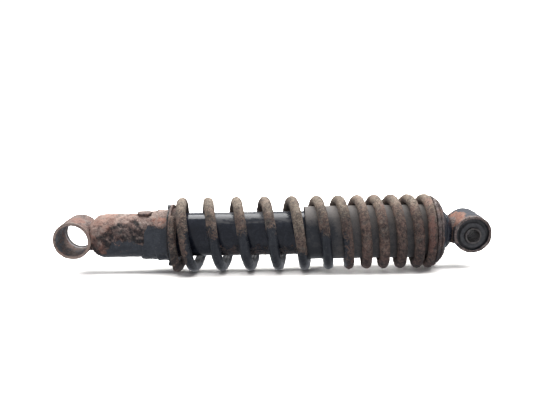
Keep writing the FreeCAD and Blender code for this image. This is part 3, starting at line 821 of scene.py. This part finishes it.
def coil_marks(points, normals):
    x, up = points[:, 0], normals[:, 2]
    big, small = cloud(points, 14, 107) - 0.5, cloud(points, 4, 116) - 0.5
    right = smooth(x, 212, 230)
    lower_rust = 45 * smooth(x, 168, 176) * (1 - smooth(x, 190, 196))
    angle = np.abs(angle_of(points)) + 50 * big + 20 * small - lower_rust
    painted = smooth(angle, 50, 88) * (1 - right) * smooth(x, 90, 98)
    painted_shade_side = smooth(angle, 22, 52)
    burnt = spot(points, (287.5, -29, 5), (3, 7, 17), 109, 1.2)
    burnt = burnt + 0.7 * spot(points, (288, -12, 27), (4, 5, 4), 110, 1.0)
    # The tone below is painted shade on the sides away from the top and painted top light where a face looks
    # up.
    return {
        "rust": 0.9 - 0.85 * painted + 0.5 * small + 0.3 * up * painted,
        "tone": 0.57 - (0.15 + 0.03 * right) * painted_shade_side + (0.16 + 0.06 * right) * up + 0.5 * small + 0.4 * big
        - 0.1 * painted + 0.12 * burnt,
        "warm": 0.04 + 0.14 * right + 0.2 * painted_shade_side + 0.6 * (cloud(points, 9, 127) - 0.5) + 0.6 * burnt,
    }


coil = np.concatenate([coil[..., :1].clip(coil_x, coil_end_x), coil[..., 1:]], axis=-1)
spring = build(
    "main_spring", coil, wire, None, ["coil_spring"], coil_relief, coil_marks, closed=False,
)
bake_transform(spring)
# A weight that went by X alone would flatten the wire. One weight for each ring of the wire keeps it round.
# The lower end also rises with its seat, a third body. A model exported from this scene doesn't carry this
# hook, so there the seat rises into the spring's end.
group = spring.vertex_groups.new(name="lift")
for n, part in enumerate(share):
    group.add(list(range(n * ROUND, (n + 1) * ROUND)), 1 - part, "REPLACE")
lift = spring.modifiers.new("preload", "HOOK")
lift.object = frame["bodies"]["spring_seat"]
lift.vertex_group = "lift"
lift.matrix_inverse = Matrix.Identity(4)

# ---- dust cover
cover_x, flange_end_x, flange_radius = span("dust_cover")
flange_x = coil_end_x + 0.03
cover_bore, cover_radius = 20.8, 22.0
cover = turned([
    (cover_x, cover_bore, 0.3), (cover_x, cover_radius, 0.5), (flange_x, cover_radius, 0.3),
    (flange_x, flange_radius, 0.3), (flange_end_x, flange_radius, 0.3), (flange_end_x, cover_bore, 0.3),
], 150, 1.0)


def cover_relief(points, normals):
    rim = smooth(195 - points[:, 0], 0, 8) * smooth(off_axis(points), 21, 22)
    return 0.12 * (cloud(points, 9, 111) - 1) + rim * 0.25 * (cloud(points, 2.5, 113) - 1)


def cover_marks(points, normals):
    x, z = points[:, 0], points[:, 2]
    later = smooth(x, 206, 218)
    dust = 0.05 + 0.9 * smooth(z, 8 - 6 * later, 19) + 0.5 * (cloud(points, 8, 115) - 0.5)
    return {"dust": dust + 0.4 * later * (1 - smooth(z, 8, 18)) - 0.1 * (1 - later)}


dust_piece = build(
    "dust_sleeve", cover, plastic, "upper_body", ["dust_cover"], cover_relief, cover_marks,
)

# ---- upper seat, dome and eye
top_x = span("upper_spring_seat")[0]
upper = turned([
    (top_x, 20.9, 0.3), (top_x, 29.2, 0.4), (top_x + 1.1, 29.2, 0.5), (295.7, 28.3, 0.4), (295.9, 27.1, 0.2),
    (296.5, 26.8, 0.2), (296.9, 27.5, 0.4), (298.9, 25.5, 1.2), (300.8, 22.9, 1.2), (302.0, 20.3, 0.6),
    (302.1, 18.5, 0.5), (301.0, 17.4, 0.3), (301.0, 14.8), (298.0, 14.8),
], 190, FINE_STEP)


def upper_relief(points, normals):
    outside = smooth(off_axis(points) - 0.4 * (300 - points[:, 0]), 18, 19)
    return outside * crust(0.2, 0.3, 121)(points, normals) - 0.02


def upper_marks(points, normals):
    marks = weather_and_top_light(points, normals, 0.95, 0.5, 0.12, seed=123)
    pale = spot(points, (294, -15, 24), (4, 9, 7), 124)
    marks["tone"] += 0.6 * pale * smooth(cloud(points, 2.0, 126), 0.5, 0.6)
    painted = smooth(points[:, 0] + 2.5 * (cloud(points, 5, 128) - 0.5), 298.2, 299.4)
    marks["rust"] -= painted * smooth(points[:, 2], -16, -2)
    return marks


build(
    "upper_spring_cup", upper, seat_finish, "upper_body", ["upper_spring_seat"],
    upper_relief, upper_marks,
)

upper_eye_x = (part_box("upper_eye")[0].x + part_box("upper_eye")[1].x) / 2 / MM
dome = turned([
    (300.6, 6), (300.6, 16.2, 0.3), (301.3, 16.6, 0.4), (303.6, 16.5, 0.4), (304.0, 15.6, 0.2),
    *arc(304.2, 15.8, 307.2, 13.6, 309.6, 9.8, 8), (313.4, 9.8), (313.4, 6),
], 120, FINE_STEP)


def dome_marks(points, normals):
    marks = weather_and_top_light(points, normals, 0.02, 0.2, 0.1, lift=-0.3, seed=127)
    marks["dust"] -= 0.4
    return marks


build(
    "upper_dome", dome, dome_finish, "upper_body", ["upper_mount_dome"],
    crust(0.1, 0.15, 129), dome_marks,
)
upper_weld = turned([(310.2, 6), (310.2, 9.7, 0.5), (318.5, 9.9), (318.5, 6)], 110, 0.6)
upper_weld = clear_of_eye(upper_weld, upper_eye_x, -1)
build(
    "upper_weld_bead", upper_weld, rusted, "upper_body", ["upper_eye_weld"],
    weld_relief(upper_eye_x, 310.2, -1), weld_marks,
)

upper_bore = 13.2
upper_eye = turned_across([
    (-half_eye, upper_bore, 0.4), (-half_eye, eye_radius, 0.6),
    (half_eye, eye_radius, 0.8), (half_eye, upper_bore, 0.4),
], 160, upper_eye_x, FINE_STEP)


def upper_eye_marks(points, normals):
    marks = weather_and_top_light(points, normals, 0.22, 0.44, 0.2, lift=0.0, seed=131)
    peach = spot(points, (314, -2, 11), (9, 14, 8), 135)
    face = smooth(-points[:, 1], half_eye - 1.0, half_eye - 0.4)
    marks["rust"] += 0.9 * peach + 0.5 * face
    marks["tone"] += 0.16 * peach + 0.2 * face
    marks["warm"] += 0.5 * peach - 0.4 * face
    marks["dust"] -= 0.25 * peach + 0.34
    return marks


build(
    "upper_eye_ring", upper_eye, seat_finish, "upper_body", ["upper_eye"],
    crust(0.12, 0.2, 133), upper_eye_marks,
)

SAG = 0.9  # how far the tired rubber lets the sleeve down
rubber_radius, rubber_bore, groove_radius = 13.15, 6.7, 11.0
rim_y, core_y = half_eye - 3, half_eye - 0.5
bush = turned_across([
    (-rim_y, rubber_radius, 0.4), (rim_y, rubber_radius, 0.4), (rim_y, groove_radius, 0.4),
    (core_y, 10.5, 0.8), (core_y, rubber_bore, 0.5), (-core_y, rubber_bore, 0.5), (-core_y, 10.4, 0.9),
    (-rim_y, groove_radius, 0.4),
], 120, upper_eye_x, FINE_STEP)
core = 1 - smooth(np.hypot(bush[..., 0] - upper_eye_x, bush[..., 2]), 11.2, 13.0)
bush[..., 2] -= SAG * core


def bush_relief(points, normals):
    return 0.25 * (cloud(points, 4, 141) - 0.5) - 0.05


bush_rubber = build("bush_rubber", bush, rubber, None, ["upper_bush_rubber"], bush_relief)
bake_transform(bush_rubber)

sleeve_start, sleeve_end = (corner.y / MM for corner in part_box("upper_bush_sleeve"))
sleeve_bore, sleeve_radius = 5.2, 6.6
sleeve = turned_across([
    (sleeve_start, sleeve_bore, 0.3), (sleeve_start, sleeve_radius, 0.3),
    (sleeve_end, sleeve_radius, 0.3), (sleeve_end, sleeve_bore, 0.3),
], 90, upper_eye_x, FINE_STEP)
sleeve[..., 2] -= SAG


def sleeve_relief(points, normals):
    return 0.1 * (cloud(points, 3, 143) - 0.5) - 0.03


build("bush_sleeve", sleeve, sleeve_steel, "upper_sleeve", ["upper_bush_sleeve"], sleeve_relief)


# ---- inner pieces
def plain(name, dark, pale, rough, metallic, size=2.0):
    r = Recipe(name, "object")
    fine, middle = r.noise(size * 0.3, 5, 0.65), r.noise(size, 4, 0.6)
    stain = r.add_up((fine, 0.5), (middle, 0.9), (-0.3, 1.0))
    return r.finish(
        r.mix(stain, dark, pale), r.add_up((stain, 0.25), (rough, 1.0)), fine, 0.06, Metallic=metallic,
    )


inner = {
    "bare_steel": plain("inner_steel", (0.22, 0.21, 0.2), (0.34, 0.33, 0.32), 0.35, 1.0),
    "chromed_steel": plain("rod_chrome", (0.5, 0.5, 0.51), (0.6, 0.6, 0.61), 0.08, 1.0, 6.0),
    "sintered_iron": plain("sintered_iron", (0.09, 0.085, 0.08), (0.16, 0.15, 0.145), 0.55, 0.8, 0.8),
    "bronze": plain("guide_bronze", (0.35, 0.2, 0.09), (0.45, 0.27, 0.13), 0.4, 1.0),
    "black_rubber": plain("inner_rubber", (0.012, 0.012, 0.013), (0.03, 0.029, 0.028), 0.6, 0.0),
    "ring_plastic": plain("ring_plastic", (0.04, 0.08, 0.06), (0.06, 0.11, 0.085), 0.45, 0.0),
}
check_low, check_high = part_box("base_valve_spring")
check_wire = 0.4
check_turns, check_steps = 3, 241
check_turn = np.linspace(0, check_turns, check_steps)
check_x = np.linspace(check_low.x / MM + check_wire, check_high.x / MM - check_wire, check_steps)
check = wound(check_turn, check_x, check_high.z / MM - check_wire, check_wire, 14)
check_spring = build(
    "base_check_spring", check, inner["bare_steel"], None, ["base_valve_spring"], closed=False,
)
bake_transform(check_spring)
# The other inner pieces are the CAD's own solids.
for material in frame["record"]["materials"]:
    for node in material.get("nodes", []):
        obj = frame["nodes"][node]
        if not obj.hide_render:
            obj.data.materials.clear()
            obj.data.materials.append(inner[material["slot"]])

# ---- table, light and camera
FLOOR_Z = -coil_outside - 0.1
CENTRE = (162.5, 450.0)


def stage_mesh(name, points, faces):
    mesh = bpy.data.meshes.new(name)
    mesh.from_pydata([[c * MM for c in p] for p in points], [], faces)
    obj = bpy.data.objects.new(name, mesh)
    bpy.context.scene.collection.objects.link(obj)
    return obj


TABLE_REACH = 2600
table = stage_mesh("table", [
    (CENTRE[0] + side_x * TABLE_REACH, CENTRE[1] + side_y * TABLE_REACH, FLOOR_Z)
    for side_x, side_y in ((-1, -1), (1, -1), (1, 1), (-1, 1))
], [(0, 1, 2, 3)])
r = Recipe("table_white", "object")
far = r.put("ShaderNodeVectorMath", operation="DISTANCE")
r.join(far.inputs[0], r.place)
far.inputs[1].default_value = (CENTRE[0], CENTRE[1], FLOOR_Z)
fade = r.between(far.outputs["Value"], 900, 1900)
r.shader.inputs["Base Color"].default_value = (0.62, 0.605, 0.585, 1)
r.shader.inputs["Roughness"].default_value = 0.8
r.shader.inputs["Specular IOR Level"].default_value = 0.1
clear = r.put("ShaderNodeBsdfTransparent")
both = r.put("ShaderNodeMixShader")
r.join(both.inputs[0], fade)
r.join(both.inputs[1], r.shader.outputs[0])
r.join(both.inputs[2], clear.outputs[0])
r.join(r.tree.nodes["Material Output"].inputs["Surface"], both.outputs[0])
table.data.materials.append(r.material)

# A globe round everything that only the camera sees.
GLOBE_RADIUS = 3500
rows, columns = 24, 48
globe_points = []
for i in range(rows + 1):
    up = math.pi * (i / rows - 0.5)
    for j in range(columns):
        round_z = 2 * math.pi * j / columns
        globe_points.append((
            CENTRE[0] + GLOBE_RADIUS * math.cos(up) * math.cos(round_z),
            GLOBE_RADIUS * math.cos(up) * math.sin(round_z),
            GLOBE_RADIUS * math.sin(up),
        ))
globe_faces = []
for i in range(rows):
    for j in range(columns):
        here, there = i * columns + j, i * columns + (j + 1) % columns
        globe_faces.append((here, there, there + columns, here + columns))
backdrop = stage_mesh("backdrop", globe_points, globe_faces)
r = Recipe("backdrop_white", "object")
glow = r.put("ShaderNodeEmission")
glow.inputs["Strength"].default_value = 1.05
r.join(r.tree.nodes["Material Output"].inputs["Surface"], glow.outputs[0])
backdrop.data.materials.append(r.material)
for kind in ("diffuse", "glossy", "shadow", "transmission", "volume_scatter"):
    setattr(backdrop, "visible_" + kind, False)

# The world is a little darker from straight below.
world = bpy.data.worlds.new("studio")
bpy.context.scene.world = world
world.use_nodes = True
air = world.node_tree
air.nodes["Background"].inputs["Color"].default_value = (0.95, 0.98, 1.06, 1)
direction = air.nodes.new("ShaderNodeTexCoord")
parts = air.nodes.new("ShaderNodeSeparateXYZ")
strength = air.nodes.new("ShaderNodeMapRange")
air.links.new(direction.outputs["Generated"], parts.inputs[0])
air.links.new(parts.outputs["Z"], strength.inputs["Value"])
for key, value in (("From Min", -1.0), ("From Max", -0.7), ("To Min", 0.3), ("To Max", 0.64)):
    strength.inputs[key].default_value = value
air.links.new(strength.outputs["Result"], air.nodes["Background"].inputs["Strength"])


def softbox(name, place, size_x, size_y, radiance, target=None):
    """A flat rectangular light. It faces straight down unless it is given a target."""
    light = bpy.data.lights.new(name, "AREA")
    light.shape = "RECTANGLE"
    light.size, light.size_y = size_x * MM, size_y * MM
    light.energy = radiance * math.pi * size_x * size_y * MM * MM
    obj = bpy.data.objects.new(name, light)
    bpy.context.scene.collection.objects.link(obj)
    obj.location = [c * MM for c in place]
    if target is not None:
        away = obj.location - type(obj.location)([c * MM for c in target])
        obj.rotation_euler = away.to_track_quat("Z", "Y").to_euler()
    return obj


UNDER_SHOCK = (CENTRE[0], 0, FLOOR_Z)
TABLE_LIGHT_HEIGHT = 3400
TABLE_LIGHT_SIZE = (7000, 1600)
overhead = softbox("overhead", (CENTRE[0], 720, 1000), 2600, 900, 6.4)
near_table = softbox(
    "near_table", (CENTRE[0], -960, TABLE_LIGHT_HEIGHT), *TABLE_LIGHT_SIZE, 21.8, UNDER_SHOCK,
)
far_tables = [
    softbox(name, (CENTRE[0], 2280, TABLE_LIGHT_HEIGHT), *TABLE_LIGHT_SIZE, radiance, UNDER_SHOCK)
    for name, radiance in (("far_table", 23.0), ("far_table_soft", 5.8))
]
# The overhead light leaves the table out, and the table's own lights light nothing else.
for light, state in ((overhead, "EXCLUDE"), *((light, "INCLUDE") for light in (near_table, *far_tables))):
    lit = bpy.data.collections.new(light.name + "_lights")
    lit.objects.link(table)
    light.light_linking.receiver_collection = lit
    lit.collection_objects[0].light_linking.link_state = state
    light.visible_camera = False
# Some pieces cast no shadow from the far lights, which thins the shadow to the photograph's narrow streak.
for light, unshaded in zip(far_tables, ((spring,), (spring, dust_piece))):
    bare = bpy.data.collections.new(light.name + "_shadows")
    light.light_linking.blocker_collection = bare
    for piece in unshaded:
        bare.objects.link(piece)
    for member in bare.collection_objects:
        member.light_linking.link_state = "EXCLUDE"
table.visible_diffuse = False
table.visible_glossy = False

# The camera, as fitted to the photograph.
YAW, PITCH, ROLL = (math.radians(a) for a in (0.312, 13.327, -0.863))
FOCAL_PIXELS = 589.3
IMAGE_WIDTH = 550
CAMERA_PLACE = (162.28, -472.89, 134.72)
ahead = np.array([math.sin(YAW) * math.cos(PITCH), math.cos(YAW) * math.cos(PITCH), -math.sin(PITCH)])
level = np.array([math.cos(YAW), -math.sin(YAW), 0])
upright = np.cross(level, ahead)
right = math.cos(ROLL) * level + math.sin(ROLL) * upright
upward = -math.sin(ROLL) * level + math.cos(ROLL) * upright
camera_data = bpy.data.cameras.new("camera")
camera_data.sensor_width = 36
camera_data.lens = camera_data.sensor_width * FOCAL_PIXELS / IMAGE_WIDTH
camera = bpy.data.objects.new("camera", camera_data)
bpy.context.scene.collection.objects.link(camera)
camera_axes = np.stack([right, upward, -ahead], axis=1)
place = Matrix(camera_axes.tolist()).to_4x4()
place.translation = [c * MM for c in CAMERA_PLACE]
camera.matrix_world = place
bpy.context.scene.camera = camera
bpy.context.scene.view_settings.view_transform = "Standard"
